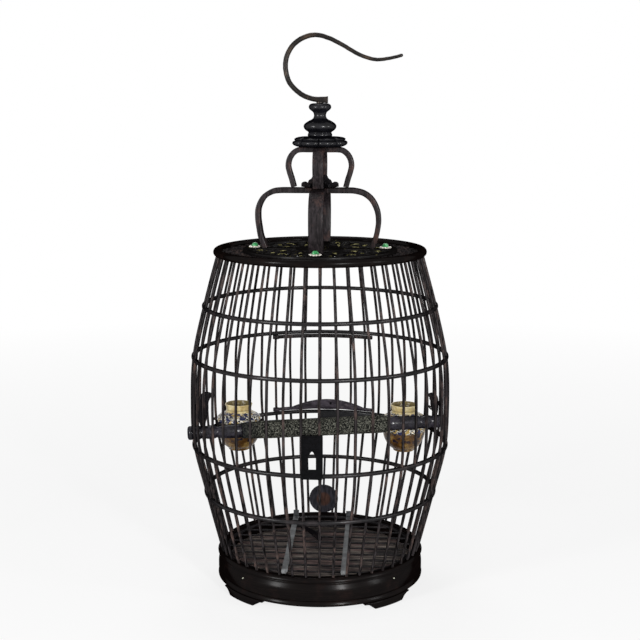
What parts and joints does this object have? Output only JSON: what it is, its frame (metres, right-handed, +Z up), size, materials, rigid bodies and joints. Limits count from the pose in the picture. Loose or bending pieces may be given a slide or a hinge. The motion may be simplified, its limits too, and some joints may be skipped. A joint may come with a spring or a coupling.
{
  "type": "birdcage",
  "caption": "Round songbird cage with bent bars, hoops, footed base, fretwork top, two-tier crown, swivel hook, grit perch, hinged back door and lift-out glazed cups.",
  "frame": {"origin": "centre of the cage on the plane of the feet", "axes": "+Z up along the cage's axis to the hook; the front, with the plaque, faces -Y; +X to the right of the front"},
  "size_m": [0.3322, 0.334, 0.6971],
  "materials": {
    "lacquered_bamboo": "dark brown-black lacquer on bamboo, semi-gloss with reddish-brown wear",
    "carved_hardwood": "dark hardwood, polished, turned and carved",
    "black_lacquer": "black gloss lacquer",
    "forged_bronze": "dark patinated, hammered",
    "grey_metal": "dull grey, slightly worn",
    "grit": "coarse grit, dark grey-green, matt",
    "glazed_cup": "yellow-brown glaze with a blue, white and black scroll band",
    "white_setting": "off-white, satin",
    "green_jade": "polished green cabochon",
    "tray_wood": "grey-brown board, matt"
  },
  "bodies": {
    "cage": {"base_ring": "lacquered_bamboo", "foot_1": "lacquered_bamboo", "foot_2": "lacquered_bamboo", "foot_3": "lacquered_bamboo", "foot_4": "lacquered_bamboo", "bars_right_front": "lacquered_bamboo", "bars_right_back": "lacquered_bamboo", "door_post_right": "lacquered_bamboo", "bars_back_lower": "lacquered_bamboo", "door_post_left": "lacquered_bamboo", "bars_left_back": "lacquered_bamboo", "bars_left_front": "lacquered_bamboo", "bars_front": "lacquered_bamboo", "bars_back_upper": "lacquered_bamboo", "hoop_1": "lacquered_bamboo", "sill_hoop": "lacquered_bamboo", "head_hoop": "lacquered_bamboo", "hoop_4": "lacquered_bamboo", "top_rim": "lacquered_bamboo", "top_grille": "lacquered_bamboo", "cup_ring_left": "lacquered_bamboo", "cup_ring_right": "lacquered_bamboo", "lower_arm_1": "carved_hardwood", "lower_arm_2": "carved_hardwood", "lower_arm_3": "carved_hardwood", "lower_arm_4": "carved_hardwood", "crown_hub": "carved_hardwood", "upper_arm_1": "carved_hardwood", "upper_arm_2": "carved_hardwood", "upper_arm_3": "carved_hardwood", "upper_arm_4": "carved_hardwood", "collar": "carved_hardwood", "perch_bracket_left": "carved_hardwood", "perch_bracket_right": "carved_hardwood", "front_plaque": "carved_hardwood", "back_disc": "carved_hardwood", "floor_grille": "carved_hardwood", "top_panel": "black_lacquer", "finial": "black_lacquer", "door_sill": "black_lacquer", "floor_strap_left": "grey_metal", "floor_strap_right": "grey_metal", "stud_setting_1": "white_setting", "stud_setting_2": "white_setting", "stud_setting_3": "white_setting", "stud_setting_4": "white_setting", "stud_jade_1": "green_jade", "stud_jade_2": "green_jade", "stud_jade_3": "green_jade", "stud_jade_4": "green_jade", "tray_board": "tray_wood"},
    "hook": {"hook": "forged_bronze"},
    "door": {"door_bars": "lacquered_bamboo", "door_bottom_rail": "carved_hardwood"},
    "cup_left": {"cup_left": "glazed_cup"},
    "cup_right": {"cup_right": "glazed_cup"},
    "perch": {"perch_rod": "carved_hardwood", "perch_grit": "grit"},
    "floor_catch": {"floor_catch": "carved_hardwood"}
  },
  "joints": [
    {"name": "hook_swivel", "type": "hinge", "parent": "cage", "child": "hook", "pos_m": [0, 0, 0.6117], "axis": [0, 0, 1], "continuous": true},
    {"name": "door_swing", "type": "hinge", "parent": "cage", "child": "door", "pos_m": [-0.07103, 0.14404, 0.23927], "axis": [0.0027, -0.0054, 1], "range_deg": [0, 95]},
    {"name": "cup_left_lift", "type": "slide", "parent": "cage", "child": "cup_left", "axis": [0, 0, 1], "range_m": [0, 0.06]},
    {"name": "cup_right_lift", "type": "slide", "parent": "cage", "child": "cup_right", "axis": [0, 0, 1], "range_m": [0, 0.06]},
    {"name": "perch_turn", "type": "hinge", "parent": "cage", "child": "perch", "pos_m": [0, 0, 0.2011], "axis": [0.9659, 0.2588, 0], "continuous": true},
    {"name": "catch_turn", "type": "hinge", "parent": "cage", "child": "floor_catch", "pos_m": [-0.027, 0.061, 0.0455], "axis": [0, 0, 1], "range_deg": [-25, 30]}
  ]
}
